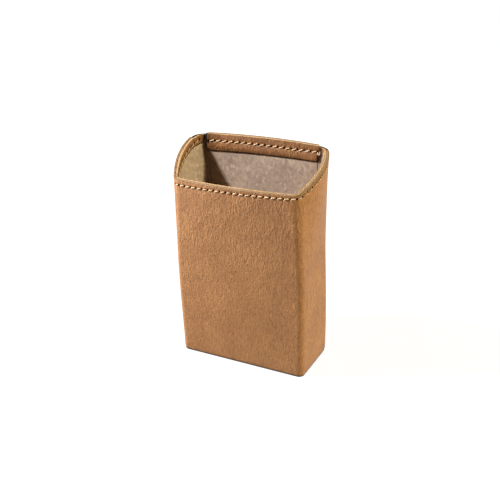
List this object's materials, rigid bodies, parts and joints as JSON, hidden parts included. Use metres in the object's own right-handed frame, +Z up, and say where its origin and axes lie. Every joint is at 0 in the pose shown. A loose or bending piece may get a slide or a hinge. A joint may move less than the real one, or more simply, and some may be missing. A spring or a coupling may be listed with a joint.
{
  "type": "leather packet case",
  "caption": "Open-topped upright leather slip case with a sloping stitched rim, a suede lining and stiffened walls, for carrying a flat packet.",
  "frame": {"origin": "centre of the underside of the base", "axes": "+Z up out of the open mouth, front face towards -Y, width along X"},
  "size_m": [0.0694, 0.0326, 0.0981],
  "materials": {
    "leather": "vegetable-tanned full-grain leather, natural tan",
    "facing_leather": "vegetable-tanned leather strip, natural tan",
    "lining": "pigskin suede, grey beige",
    "board": "grey fibre board",
    "thread": "waxed linen thread, natural"
  },
  "bodies": {
    "root": {"outer_wrap": "leather", "back_panel": "leather", "base_panel": "leather", "front_board": "board", "back_board": "board", "left_board": "board", "right_board": "board", "base_board": "board", "body_lining": "lining", "back_lining": "lining", "base_lining": "lining", "front_facing": "facing_leather", "back_facing": "facing_leather", "left_facing": "facing_leather", "right_facing": "facing_leather", "front_stitching": "thread", "left_stitching": "thread", "right_stitching": "thread", "back_stitching": "thread", "left_corner_lock": "thread", "right_corner_lock": "thread"}
  },
  "joints": []
}
